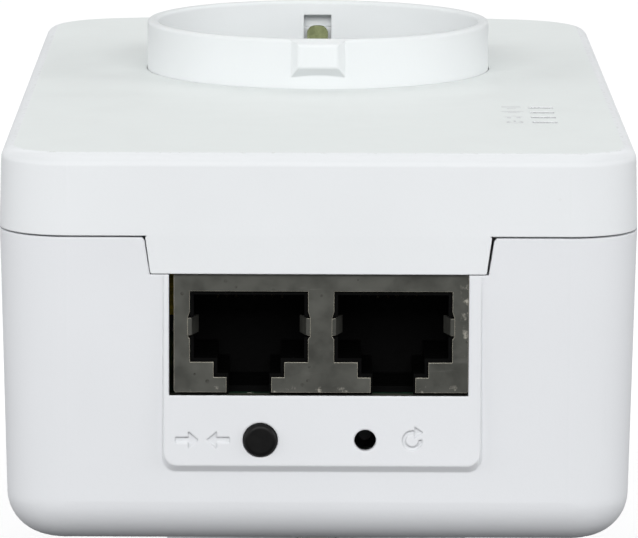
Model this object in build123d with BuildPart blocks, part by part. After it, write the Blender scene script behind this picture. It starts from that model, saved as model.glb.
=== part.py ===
from build123d import *
import os
from math import asin, cos, degrees, radians, sin

os.makedirs("parts", exist_ok=True)

# ---------------------------------------------------------------------------------------------
# Frame: the origin is the centre of the plug's face, on the axis that the plug and the socket
# share.  +Z points out of the wall (the socket's side), -Y is the end with the Ethernet ports.
# All values are millimetres.
# ---------------------------------------------------------------------------------------------

# Body
body_width = 70.0
body_length = 130.0
body_height = 43.4
front_reach = 75.3          # from the socket's axis to the port end
seam_depth = 9.05           # the seam between the shells, below the top face
draft = 1.3                 # degrees, on both shells, away from the seam
wall = 2.2
front_corner = 7.6
rear_corner = 11.0
rear_bow = 5.5
top_edge = 1.4
bottom_edge = 5.0
seam_gap = 0.2

# Plug (CEE 7/7)
plug_depth = 17.0
plug_radius = 18.5
plug_flange_radius = 21.3
plug_flange = 2.0
pin_radius = 2.4
pin_root_radius = 2.0       # inside the plug's body
pin_length = 19.0
pin_reach = 9.5             # each pin's distance from the axis
earth_hole_reach = 10.0
earth_hole_radius = 2.75

# Socket (CEE 7/3)
ring_radius = 20.7
ring_inner_radius = 19.45
ring_height = 5.9
recess_depth = 17.5
socket_hole_radius = 2.7
clip_width = 3.0

# Ethernet jack and the port end
jack_width = 32.1
jack_centre_x = 0.31
port_pitch = 15.73
port_width = 12.9
tab_depth = 13.12           # the cover's tab ends this far below the top face
window_depth = 26.57
control_depth = 31.5        # pair button and reset hole, below the top face
pair_x = -6.29
reset_x = 5.16
panel_width = 34.6
panel_centre_x = 0.45
panel_depth = 34.35
panel_bevel = 0.8

# Boards
board_thickness = 1.6
logic_board_top = 33.5
power_board_top = 23.6

# Heights and ends that follow from the values above
front_y = -front_reach
rear_y = body_length - front_reach
back_z = plug_depth
floor_z = back_z + wall
top_z = back_z + body_height
plate_z = top_z - wall      # underside of the top cover's plate
seam_z = top_z - seam_depth
ring_z = top_z + ring_height
recess_z = ring_z - recess_depth
cup_floor = 2.4
cup_bottom_z = recess_z - cup_floor
control_z = top_z - control_depth
logic_board_bottom = logic_board_top - board_thickness
power_board_bottom = power_board_top - board_thickness

front_screw = (25.6, front_y + 10.5)
rear_screw = (23.5, rear_y - 15.2)
screw_places = [(side * x, y) for x, y in (front_screw, rear_screw) for side in (-1, 1)]
logic_post_places = [(side * 29.0, y) for y in (-56.5, -34.5) for side in (-1, 1)]
power_post_places = [(side * 27.4, y) for y in (-8.0, 27.0) for side in (-1, 1)]


def save(piece, name):
    """Label a finished piece and write its STEP file."""
    piece.part.label = name
    export_step(piece.part, f"parts/{name}.step")


def body_outline(inset=0.0):
    """Plan of the body: straight front and sides, gently bowed rear end, round corners."""
    half = body_width / 2
    with BuildSketch() as outline:
        with BuildLine():
            Line((-half, rear_y - rear_bow), (-half, front_y))
            Line((-half, front_y), (half, front_y))
            Line((half, front_y), (half, rear_y - rear_bow))
            ThreePointArc((half, rear_y - rear_bow), (0, rear_y), (-half, rear_y - rear_bow))
        make_face()
        fillet(outline.vertices().group_by(Axis.Y)[0], front_corner)
        fillet(outline.vertices().group_by(Axis.Y)[-1], rear_corner)
        if inset:
            offset(amount=-inset, mode=Mode.REPLACE)
    return outline.sketch


def front_plane(y):
    """A sketch plane facing the port end: local x is +X and local y is +Z, its normal is -Y."""
    return Plane(origin=(0, y, 0), x_dir=(1, 0, 0), z_dir=(0, -1, 0))


def side_plane(x):
    """A sketch plane facing +X: local x is +Y and local y is +Z."""
    return Plane(origin=(x, 0, 0), x_dir=(0, 1, 0), z_dir=(1, 0, 0))


# ---------------------------------------------------------------------------------------------
# Housing shells
# ---------------------------------------------------------------------------------------------

collar_radius = ring_radius + 0.1
collar_wall = 1.8
collar_bottom_z = 50.2
post_radius = 3.0
pilot_radius = 1.2
boss_top_z = 26.0
lip_height = 1.5
lip_thickness = 1.0
tab_top_half = 18.85
tab_bottom_half = 18.27
led_window_x = 25.6
led_window_ys = [front_y + 26.6 + 4.12 * i for i in range(4)]
led_window = (2.8, 1.4)

with BuildPart() as top_cover:
    with BuildSketch(Plane.XY.offset(seam_z + seam_gap / 2)):
        add(body_outline())
    extrude(amount=seam_depth - seam_gap / 2, taper=draft)
    fillet(top_cover.faces().sort_by(Axis.Z)[-1].edges(), top_edge)
    with BuildSketch(Plane.XY.offset(seam_z - lip_height)):
        add(body_outline(wall - lip_thickness))
    extrude(amount=lip_height + seam_gap / 2)
    with BuildSketch(Plane.XY.offset(seam_z - lip_height)):
        add(body_outline(wall))
    extrude(amount=seam_depth - wall + lip_height, taper=draft / 2, mode=Mode.SUBTRACT)
    # the lip is left out where the ports' window and the tab are
    with BuildSketch(Plane.XY.offset(seam_z - lip_height)):
        with Locations((0, front_y)):
            Rectangle(2 * tab_top_half + 3, 8)
    extrude(amount=lip_height + seam_gap / 2, mode=Mode.SUBTRACT)
    # tab over the port window
    with BuildSketch(front_plane(front_y)) as tab:
        with BuildLine():
            Polyline(
                (-tab_top_half, seam_z + seam_gap / 2),
                (-tab_bottom_half, top_z - tab_depth),
                (tab_bottom_half, top_z - tab_depth),
                (tab_top_half, seam_z + seam_gap / 2),
                close=True,
            )
        make_face()
        fillet(tab.vertices().group_by(Axis.Z)[0], 0.25)
    extrude(amount=-wall)
    # hole and collar for the socket cup
    with BuildSketch(Plane.XY.offset(collar_bottom_z)):
        Circle(collar_radius + collar_wall)
    extrude(amount=plate_z - collar_bottom_z)
    with BuildSketch(Plane.XY.offset(collar_bottom_z)):
        Circle(collar_radius)
    extrude(amount=top_z - collar_bottom_z, mode=Mode.SUBTRACT)
    # screw posts
    with BuildSketch(Plane.XY.offset(boss_top_z)):
        with Locations(*screw_places):
            Circle(post_radius)
    extrude(amount=plate_z + 0.5 - boss_top_z)
    with BuildSketch(Plane.XY.offset(boss_top_z)):
        with Locations(*screw_places):
            Circle(pilot_radius)
    extrude(amount=12.0, mode=Mode.SUBTRACT)
    # windows of the light guide
    with BuildSketch(Plane.XY.offset(plate_z)):
        with Locations(*[(led_window_x, y) for y in led_window_ys]):
            RectangleRounded(*led_window, 0.3)
    extrude(amount=wall, mode=Mode.SUBTRACT)
save(top_cover, "top_cover")

window_left_x = -16.27
window_right_x = 16.40
button_hole_radius = 1.93
reset_hole_radius = 1.2
reset_wall = 1.0             # the wall is thinned behind the reset hole
sill_lip = 0.15
sill_drop = 0.9              # the window's sill falls by this much through the wall
notch_side_gaps = (0.06, 0.23)
notch_bottom_gap = 0.1
lower_depth = seam_z - seam_gap / 2 - back_z
boss_radius = 3.8
screw_head_seat_z = 23.5
screw_recess_radius = 3.1
vent_width = 1.6
vent_height = 13.0
vent_pitch = 3.4
vent_rows = [(-44.0, 9), (28.0, 6)]
pictogram_depth = 0.15
panel_top_z = seam_z - 3.0
panel_side_bevel = 0.15
panel_corner = 1.5
notch_corner = (0.35, 0.45)     # the notch flares by this much at the seam, over this height


def pair_pictogram():
    """Two arrows that point at each other."""
    with BuildSketch() as sign:
        for side in (-1, 1):
            with BuildLine():
                Polyline(
                    (side * 0.45, 0.0),
                    (side * 1.55, 0.95),
                    (side * 1.55, 0.3),
                    (side * 2.95, 0.3),
                    (side * 2.95, -0.3),
                    (side * 1.55, -0.3),
                    (side * 1.55, -0.95),
                    close=True,
                )
            make_face()
    return sign.sketch


def reset_pictogram():
    """An arrow that turns back on itself."""
    with BuildSketch() as sign:
        Circle(1.1)
        Circle(0.7, mode=Mode.SUBTRACT)
        with BuildLine():
            Polyline((0.0, 0.0), (0.35, 1.6), (1.7, 1.6), (1.7, 0.1), close=True)
        make_face(mode=Mode.SUBTRACT)
        with BuildLine():
            Polyline((0.25, 0.25), (0.25, 1.55), (1.15, 0.9), close=True)
        make_face()
    return sign.sketch


with BuildPart() as lower_housing:
    with BuildSketch(Plane.XY.offset(seam_z - seam_gap / 2)):
        add(body_outline())
    extrude(amount=-lower_depth, taper=draft)
    fillet(lower_housing.faces().sort_by(Axis.Z)[0].edges(), bottom_edge)
    # inside of the shell, with the rebate for the cover's lip
    with BuildSketch(Plane.XY.offset(seam_z - seam_gap / 2)):
        add(body_outline(wall))
    extrude(amount=-(lower_depth - wall), taper=draft, mode=Mode.SUBTRACT)
    with BuildSketch(Plane.XY.offset(seam_z - seam_gap / 2)):
        add(body_outline(wall - lip_thickness - 0.1))
    extrude(amount=-lip_height, mode=Mode.SUBTRACT)
    # upright port panel, flush at the seam and proud of the drafted front at its lower edge
    for y, grow in ((front_y, 0.0), (front_y + 0.62, 1.0)):
        panel_low_z = top_z - panel_depth - grow * panel_bevel
        with BuildSketch(front_plane(y)) as panel:
            with Locations((panel_centre_x, (panel_top_z + panel_low_z) / 2)):
                Rectangle(panel_width + grow * 2 * panel_side_bevel, panel_top_z - panel_low_z)
            fillet(panel.vertices().group_by(Axis.Z)[0], panel_corner)
    loft()
    # screw bosses
    with BuildSketch(Plane.XY.offset(floor_z)):
        with Locations(*screw_places):
            Circle(boss_radius)
    extrude(amount=boss_top_z - 0.05 - floor_z)
    with BuildSketch(Plane.XY.offset(back_z)):
        with Locations(*screw_places):
            Circle(screw_recess_radius)
    extrude(amount=screw_head_seat_z - back_z, mode=Mode.SUBTRACT)
    with BuildSketch(Plane.XY.offset(screw_head_seat_z)):
        with Locations(*screw_places):
            Circle(1.5)
    extrude(amount=boss_top_z - screw_head_seat_z, mode=Mode.SUBTRACT)
    # posts under the two boards
    for places, height in (
        (logic_post_places, logic_board_bottom),
        (power_post_places, power_board_bottom),
    ):
        with BuildSketch(Plane.XY.offset(floor_z)):
            with Locations(*places):
                Circle(2.6)
        extrude(amount=height - floor_z)
        with BuildSketch(Plane.XY.offset(height)):
            with Locations(*places):
                Circle(0.9)
        extrude(amount=-(min(height - floor_z, 6.0)), mode=Mode.SUBTRACT)
    # hole for the plug body
    with BuildSketch(Plane.XY.offset(back_z)):
        Circle(plug_radius + 0.1)
    extrude(amount=wall, mode=Mode.SUBTRACT)
    # notch for the cover's tab
    with BuildSketch(front_plane(front_y - 1)):
        with BuildLine():
            Polyline(
                (-tab_top_half - notch_side_gaps[0] - notch_corner[0], seam_z),
                (-tab_top_half - notch_side_gaps[0], seam_z - notch_corner[1]),
                (-tab_bottom_half - notch_side_gaps[0], top_z - tab_depth - notch_bottom_gap),
                (tab_bottom_half + notch_side_gaps[1], top_z - tab_depth - notch_bottom_gap),
                (tab_top_half + notch_side_gaps[1], seam_z - notch_corner[1]),
                (tab_top_half + notch_side_gaps[1] + notch_corner[0], seam_z),
                close=True,
            )
        make_face()
    extrude(amount=-5, mode=Mode.SUBTRACT)
    # port window, pair button hole and reset hole
    with BuildSketch(front_plane(front_y - 1)):
        window_height = window_depth - tab_depth + 1
        window_middle_z = top_z - window_depth + window_height / 2
        with Locations(((window_left_x + window_right_x) / 2, window_middle_z)):
            Rectangle(window_right_x - window_left_x, window_height)
        with Locations((pair_x, control_z)):
            Circle(button_hole_radius)
        with Locations((reset_x, control_z)):
            Circle(reset_hole_radius)
    extrude(amount=-6, mode=Mode.SUBTRACT)
    with BuildSketch(front_plane(front_y + reset_wall)):
        with Locations((reset_x, control_z)):
            Circle(2 * reset_hole_radius)
    extrude(amount=-5, mode=Mode.SUBTRACT)
    # sill of the port window, falling away behind a narrow lip
    with BuildSketch(side_plane(window_left_x)):
        with BuildLine():
            Polyline(
                (front_y + sill_lip, top_z - window_depth),
                (front_y + 2 * wall, top_z - window_depth),
                (front_y + 2 * wall, top_z - window_depth - sill_drop * 2),
                close=True,
            )
        make_face()
    extrude(amount=window_right_x - window_left_x, mode=Mode.SUBTRACT)
    # debossed pictograms beside the two controls
    with BuildSketch(front_plane(front_y)):
        with Locations((-12.6, control_z)):
            add(pair_pictogram())
        with Locations((10.3, control_z)):
            add(reset_pictogram())
    extrude(amount=-pictogram_depth, mode=Mode.SUBTRACT)
    # air vents in the long sides
    for middle, count in vent_rows:
        with BuildSketch(side_plane(-body_width / 2)):
            with Locations((middle, (floor_z + seam_z) / 2)):
                with GridLocations(vent_pitch, 1, count, 1):
                    SlotOverall(vent_height, vent_width, rotation=90)
        extrude(amount=body_width, mode=Mode.SUBTRACT)
save(lower_housing, "lower_housing")

# ---------------------------------------------------------------------------------------------
# Socket: cup, carrier, contacts, earth clips and shutter
# ---------------------------------------------------------------------------------------------

skirt_bottom_z = 39.4
skirt_inner_radius = 19.3
rim_round = 0.4
key_rib = (2.1, 5.5)        # how far each key rib stands in from the wall, and its width
key_rib_top_drop = 5.0
blister_face = (4.7, 0.5, 3.3)      # width, top and bottom below the rim
blister_root = (6.6, 0.1, 4.7)
blister_round = 0.5
blister_root_y = 20.3
blister_reach = 0.85
pocket_width = 3.4
pocket_drop = 1.8
clip_thickness = 0.5
clip_root_y = 20.35
clip_top_drop = 3.2

with BuildPart() as socket_cup:
    with BuildSketch(Plane.XY.offset(skirt_bottom_z)):
        Circle(ring_radius)
    extrude(amount=ring_z - skirt_bottom_z)
    with BuildSketch(Plane.XY.offset(recess_z)):
        Circle(ring_inner_radius)
    extrude(amount=recess_depth, mode=Mode.SUBTRACT)
    fillet(socket_cup.faces().sort_by(Axis.Z)[-1].edges(), rim_round)
    with BuildSketch(Plane.XY.offset(skirt_bottom_z)):
        Circle(skirt_inner_radius)
    extrude(amount=cup_bottom_z - skirt_bottom_z, mode=Mode.SUBTRACT)
    # key ribs in line with the pin holes
    with BuildSketch(Plane.XY.offset(recess_z)):
        for side in (-1, 1):
            with Locations((side * (ring_inner_radius - key_rib[0] / 2 + 0.1), 0)):
                Rectangle(key_rib[0] + 0.2, key_rib[1])
    extrude(amount=recess_depth - key_rib_top_drop)
    # blisters that house the upper ends of the earth clips
    for end in (-1, 1):
        root_plane = front_plane(end * blister_root_y)
        face_plane = root_plane.offset(-end * (ring_radius + blister_reach - blister_root_y))
        for plane, (width, top_drop, bottom_drop) in (
            (root_plane, blister_root),
            (face_plane, blister_face),
        ):
            with BuildSketch(plane):
                with Locations((0, ring_z - (top_drop + bottom_drop) / 2)):
                    Rectangle(width, bottom_drop - top_drop)
        loft()
    front_blister = socket_cup.faces().sort_by(Axis.Y)[0]
    rear_blister = socket_cup.faces().sort_by(Axis.Y)[-1]
    fillet(front_blister.edges() + rear_blister.edges(), blister_round)
    # pockets for the clips: open into the recess, deeper behind the blister
    for low_z, high_z, outer in (
        (cup_bottom_z, plate_z + 1.3, ring_radius + 1),
        (plate_z + 1.3, ring_z - 3.4, 20.2),
        (ring_z - 3.4, ring_z - pocket_drop, 20.95),
    ):
        with BuildSketch(Plane.XY.offset(low_z)):
            for end in (-1, 1):
                with Locations((0, end * (18.8 + outer) / 2)):
                    Rectangle(pocket_width, outer - 18.8)
        extrude(amount=high_z - low_z, mode=Mode.SUBTRACT)
    # the skirt is cut away where the clips come up
    with BuildSketch(Plane.XY.offset(skirt_bottom_z)):
        for end in (-1, 1):
            with Locations((0, end * 20.0)):
                Rectangle(pocket_width, 4)
    extrude(amount=cup_bottom_z - skirt_bottom_z, mode=Mode.SUBTRACT)
    # pin holes with a lead-in
    with BuildSketch(Plane.XY.offset(cup_bottom_z)):
        with Locations((-pin_reach, 0), (pin_reach, 0)):
            Circle(socket_hole_radius)
    extrude(amount=cup_floor, mode=Mode.SUBTRACT)
    # snap lugs below the cover's collar
    with BuildSketch(Plane.XY.offset(collar_bottom_z - 1.6)):
        for side in (-1, 1):
            with Locations((side * (ring_radius + 0.2), 0)):
                Rectangle(1.2, 6)
    extrude(amount=1.5)
save(socket_cup, "socket_cup")

carrier_top_z = 42.2
carrier_disc = 2.8
carrier_tube_bottom_z = 30.6
sleeve_outer_radius = 3.3
sleeve_inner_radius = 2.46
pivot_radius = 1.5
pivot_top_z = cup_bottom_z - 0.1
stop_reach = 7.0
shutter_travel = 42.0
shutter_arm = 5.0
stop_radius = 1.0

# The shutter's arm lies along X at rest.  A stop beside it stands off by half the arm, its own
# radius and a small gap.
stop_offset = degrees(asin((shutter_arm / 2 + stop_radius + 0.1) / stop_reach))
stop_angles = [shutter_travel + stop_offset, -stop_offset]
stop_places = [
    (stop_reach * cos(radians(angle + turn)), stop_reach * sin(radians(angle + turn)))
    for angle in stop_angles
    for turn in (0, 180)
]

with BuildPart() as contact_carrier:
    with BuildSketch(Plane.XY.offset(carrier_top_z - carrier_disc)):
        Circle(skirt_inner_radius - 0.1)
    extrude(amount=carrier_disc)
    with BuildSketch(Plane.XY.offset(carrier_tube_bottom_z)):
        with Locations((-pin_reach, 0), (pin_reach, 0)):
            Circle(sleeve_outer_radius + 1.6)
        Rectangle(2 * pin_reach, 2.0)
    extrude(amount=carrier_top_z - carrier_disc - carrier_tube_bottom_z)
    with BuildSketch(Plane.XY.offset(carrier_tube_bottom_z)):
        with Locations((-pin_reach, 0), (pin_reach, 0)):
            Circle(sleeve_outer_radius)
    extrude(amount=carrier_top_z - carrier_tube_bottom_z, mode=Mode.SUBTRACT)
    with BuildSketch(Plane.XY.offset(carrier_top_z)):
        Circle(pivot_radius)
    extrude(amount=pivot_top_z - carrier_top_z)
    with BuildSketch(Plane.XY.offset(carrier_top_z)):
        with Locations(*stop_places):
            Circle(stop_radius)
    extrude(amount=3.4)
save(contact_carrier, "contact_carrier")

shutter_bottom_z = 44.2
shutter_thickness = 1.7
lobe_radius = 3.4

with BuildPart() as socket_shutter:
    with BuildSketch(Plane.XY.offset(shutter_bottom_z)):
        Circle(3.9)
        Rectangle(2 * pin_reach, shutter_arm)
        with Locations((-pin_reach, 0), (pin_reach, 0)):
            Circle(lobe_radius)
    extrude(amount=shutter_thickness)
    chamfer(socket_shutter.faces().sort_by(Axis.Z)[-1].edges(), 0.5)
    with BuildSketch(Plane.XY.offset(shutter_bottom_z)):
        Circle(pivot_radius + 0.05)
    extrude(amount=shutter_thickness, mode=Mode.SUBTRACT)
save(socket_shutter, "socket_shutter")

spring_wire = 0.36
spring_radius = 2.2
spring_pitch = 0.42
spring_turns = 3.25

with BuildPart() as shutter_spring:
    with BuildLine() as coil:
        Helix(
            pitch=spring_pitch,
            height=spring_pitch * spring_turns,
            radius=spring_radius,
            center=(0, 0, carrier_top_z + 0.3),
        )
    with BuildSketch(Plane(origin=coil.line @ 0, z_dir=coil.line % 0)):
        Circle(spring_wire / 2)
    sweep(is_frenet=True)
save(shutter_spring, "shutter_spring")

for name, side in (("live_contact", -1), ("neutral_contact", 1)):
    with BuildPart() as contact:
        with BuildSketch(Plane.XY.offset(carrier_tube_bottom_z)):
            with Locations((side * pin_reach, 0)):
                Circle(sleeve_outer_radius)
        extrude(amount=carrier_top_z - 0.4 - carrier_tube_bottom_z)
        with BuildSketch(Plane.XY.offset(carrier_tube_bottom_z + 0.8)):
            with Locations((side * pin_reach, 0)):
                Circle(sleeve_inner_radius)
        extrude(amount=carrier_top_z - carrier_tube_bottom_z, mode=Mode.SUBTRACT)
        with BuildSketch(Plane.XY.offset(carrier_tube_bottom_z + 3)):
            with Locations((side * pin_reach, 0)):
                Rectangle(0.8, 2 * sleeve_outer_radius + 1)
        extrude(amount=carrier_top_z - carrier_tube_bottom_z, mode=Mode.SUBTRACT)
    save(contact, name)

strap_thickness = 0.8
strap_z = floor_z + plug_flange      # underside of the strap, on the plug's flange

for name, end in (("earth_clip_front", -1), ("earth_clip_rear", 1)):
    with BuildPart() as clip:
        with BuildLine():
            FilletPolyline(
                (0, end * clip_root_y, strap_z + strap_thickness),
                (0, end * clip_root_y, 51.0),
                (0, end * 18.2, 57.2),
                (0, end * 20.0, ring_z - clip_top_drop),
                radius=3,
            )
        with BuildSketch(Plane.XY.offset(strap_z + strap_thickness)):
            with Locations((0, end * clip_root_y)):
                Rectangle(clip_width - 0.4, clip_thickness)
        sweep()
        fillet(clip.faces().sort_by(Axis.Z)[-1].edges().sort_by(SortBy.LENGTH)[:2], 1.0)
    save(clip, name)

with BuildPart() as earth_strap:
    with BuildSketch(Plane.XY.offset(strap_z)):
        SlotOverall(2 * (clip_root_y + 0.6), 5.0, rotation=90)
    extrude(amount=strap_thickness)
save(earth_strap, "earth_strap")

# ---------------------------------------------------------------------------------------------
# Plug: body, pins, earth strips and earth sleeve
# ---------------------------------------------------------------------------------------------

strip_groove = (4.8, 1.0)            # width and depth below the plug's round side
guide_groove = (5.6, 2.3)
sleeve_mouth_z = 4.0
plug_skin = 3.0
pin_tip_round = 2.0

with BuildPart() as plug_body:
    with BuildSketch():
        Circle(plug_radius)
    extrude(amount=floor_z)
    fillet(plug_body.faces().sort_by(Axis.Z)[0].edges(), 1.0)
    with BuildSketch(Plane.XY.offset(floor_z)):
        Circle(plug_flange_radius)
    extrude(amount=plug_flange)
    # guide grooves in line with the pins
    with BuildSketch():
        for side in (-1, 1):
            with Locations((side * plug_radius, 0)):
                Rectangle(2 * guide_groove[1], guide_groove[0])
    extrude(amount=plug_depth - 1.5, mode=Mode.SUBTRACT)
    # grooves for the earth strips
    with BuildSketch():
        for end in (-1, 1):
            with Locations((0, end * (plug_radius - strip_groove[1] + 0.75))):
                Rectangle(strip_groove[0], 1.5)
    extrude(amount=strap_z, mode=Mode.SUBTRACT)
    # hollow inside, around the pin and earth sleeve columns
    with BuildSketch(Plane.XY.offset(plug_skin)):
        Circle(15.2)
        with Locations((-pin_reach, 0), (pin_reach, 0), (0, earth_hole_reach)):
            Circle(4.6, mode=Mode.SUBTRACT)
    extrude(amount=strap_z - plug_skin, mode=Mode.SUBTRACT)
    with BuildSketch():
        with Locations((-pin_reach, 0), (pin_reach, 0)):
            Circle(pin_root_radius)
    extrude(amount=strap_z, mode=Mode.SUBTRACT)
    with BuildSketch():
        with Locations((0, earth_hole_reach)):
            Circle(earth_hole_radius)
    extrude(amount=sleeve_mouth_z, mode=Mode.SUBTRACT)
    with BuildSketch(Plane.XY.offset(sleeve_mouth_z)):
        with Locations((0, earth_hole_reach)):
            Circle(3.0)
    extrude(amount=11.2, mode=Mode.SUBTRACT)
save(plug_body, "plug_body")

for name, side in (("plug_pin_live", -1), ("plug_pin_neutral", 1)):
    with BuildPart() as pin:
        with BuildSketch(Plane.XY.offset(-pin_length)):
            with Locations((side * pin_reach, 0)):
                Circle(pin_radius)
        extrude(amount=pin_length)
        fillet(pin.edges().sort_by(Axis.Z)[0], pin_tip_round)
        with BuildSketch():
            with Locations((side * pin_reach, 0)):
                Circle(pin_root_radius)
        extrude(amount=strap_z)
        with BuildSketch(Plane.XY.offset(strap_z)):
            with Locations((side * pin_reach, 0)):
                Circle(3.6)
        extrude(amount=1.0)
    save(pin, name)

for name, end in (("plug_earth_strip_front", -1), ("plug_earth_strip_rear", 1)):
    with BuildPart() as strip:
        with BuildSketch(Plane.XY.offset(0.9)):
            with Locations((0, end * (plug_radius - strip_groove[1] + 0.4))):
                Rectangle(strip_groove[0] - 0.2, 0.8)
        extrude(amount=strap_z - 0.9)
        fillet(strip.edges().filter_by(Axis.X).group_by(Axis.Z)[0], 0.3)
    save(strip, name)

with BuildPart() as plug_earth_sleeve:
    with BuildSketch(Plane.XY.offset(sleeve_mouth_z)):
        with Locations((0, earth_hole_reach)):
            Circle(3.0)
            Circle(2.5, mode=Mode.SUBTRACT)
    extrude(amount=11.0)
save(plug_earth_sleeve, "plug_earth_sleeve")

busbar_width = 5.0
busbar_thickness = 0.8
busbar_low_z = strap_z + 1.0
busbar_web_x = 14.6

for name, side in (("live_busbar", -1), ("neutral_busbar", 1)):
    with BuildPart() as busbar:
        # C-shaped strip from the pin's head up to the contact, with a tail to the power board
        with BuildSketch(front_plane(busbar_width / 2)):
            for z in (busbar_low_z, carrier_tube_bottom_z - busbar_thickness):
                with Locations((side * (pin_reach + busbar_web_x) / 2, z + busbar_thickness / 2)):
                    Rectangle(busbar_web_x - pin_reach + 5.6, busbar_thickness)
            with Locations((side * (busbar_web_x + 2.4), (busbar_low_z + carrier_tube_bottom_z) / 2)):
                Rectangle(busbar_thickness, carrier_tube_bottom_z - busbar_low_z)
            with Locations((side * 21.4, 26.4)):
                Rectangle(9.6, busbar_thickness)
            with Locations((side * 26.0, (power_board_top + 26.8) / 2)):
                Rectangle(busbar_thickness, 26.8 - power_board_top)
        extrude(amount=busbar_width)
    save(busbar, name)

# ---------------------------------------------------------------------------------------------
# Boards
# ---------------------------------------------------------------------------------------------

logic_board_rear_y = -24.0
power_board_front_y = -31.0

with BuildPart() as logic_board:
    with BuildSketch(Plane.XY.offset(logic_board_bottom)):
        add(body_outline(3.4))
        with Locations((0, logic_board_rear_y + 60)):
            Rectangle(100, 120, mode=Mode.SUBTRACT)
        with Locations(*screw_places):
            Circle(post_radius + 1.0, mode=Mode.SUBTRACT)
        with Locations(*logic_post_places):
            Circle(1.3, mode=Mode.SUBTRACT)
    extrude(amount=board_thickness)
save(logic_board, "logic_board")

with BuildPart() as power_board:
    with BuildSketch(Plane.XY.offset(power_board_bottom)):
        add(body_outline(4.8))
        with Locations((0, power_board_front_y - 60)):
            Rectangle(100, 120, mode=Mode.SUBTRACT)
        Circle(23.5, mode=Mode.SUBTRACT)
        with Locations(*screw_places):
            Circle(boss_radius + 0.6, mode=Mode.SUBTRACT)
        with Locations(*power_post_places):
            Circle(1.3, mode=Mode.SUBTRACT)
    extrude(amount=board_thickness)
save(power_board, "power_board")

with BuildPart() as insulating_sheet:
    with BuildSketch(Plane.XY.offset(power_board_bottom - 0.6)):
        add(body_outline(6.0))
        with Locations((0, power_board_front_y - 60)):
            Rectangle(100, 120, mode=Mode.SUBTRACT)
        Circle(24.0, mode=Mode.SUBTRACT)
        with Locations(*screw_places):
            Circle(boss_radius + 0.6, mode=Mode.SUBTRACT)
        with Locations(*power_post_places):
            Circle(3.0, mode=Mode.SUBTRACT)
    extrude(amount=0.4)
save(insulating_sheet, "insulating_sheet")

link_pitch = 2.54
link_places = [(-21.5 + link_pitch * i, -27.2) for i in range(5)]

with BuildPart() as board_link_spacer:
    with BuildSketch(Plane.XY.offset(power_board_top)):
        with Locations((link_places[2][0], link_places[2][1])):
            Rectangle(5 * link_pitch, 2.5)
        with Locations(*link_places):
            Circle(0.32, mode=Mode.SUBTRACT)
    extrude(amount=logic_board_bottom - power_board_top)
save(board_link_spacer, "board_link_spacer")

with BuildPart() as board_link_pins:
    with BuildSketch(Plane.XY.offset(power_board_top)):
        with Locations(*link_places):
            Circle(0.32)
    extrude(amount=logic_board_bottom - power_board_top)
save(board_link_pins, "board_link_pins")

# ---------------------------------------------------------------------------------------------
# Ethernet jack: two ports side by side in one shielded block
# ---------------------------------------------------------------------------------------------

jack_face_y = front_y + 0.6
jack_depth = 16.0
jack_top_z = 47.2
shield_bottom_z = top_z - 26.3
sheet = 0.3
port_top_z = top_z - 15.12
port_floor_z = top_z - 22.97
latch_step_z = top_z - 24.65
latch_half_widths = (3.87, 2.46)
plastic_inset = 0.42
sill_clearance = 0.55
spring_tab_z = top_z - 19.09
spring_tab_height = 1.9
spring_tab_notch = 0.22      # cut into the sheet on each side of an opening
slot_floor_z = logic_board_top + 0.7
slot_floor_depth = 3.3
opening_depth = 11.6
port_xs = [jack_centre_x - port_pitch / 2, jack_centre_x + port_pitch / 2]


def port_opening(inset, slot_bottom_z):
    """Keyed opening of one port, on a front plane, with the latch slot at its bottom."""
    with BuildSketch() as opening:
        for half_width, low, high in (
            (port_width / 2 - inset, port_floor_z + inset, port_top_z - inset),
            (latch_half_widths[0] - inset, latch_step_z + inset, port_floor_z + inset),
            (latch_half_widths[1] - inset / 2, slot_bottom_z, latch_step_z + inset),
        ):
            with Locations((0, (low + high) / 2)):
                Rectangle(2 * half_width, high - low)
    return opening.sketch


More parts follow.
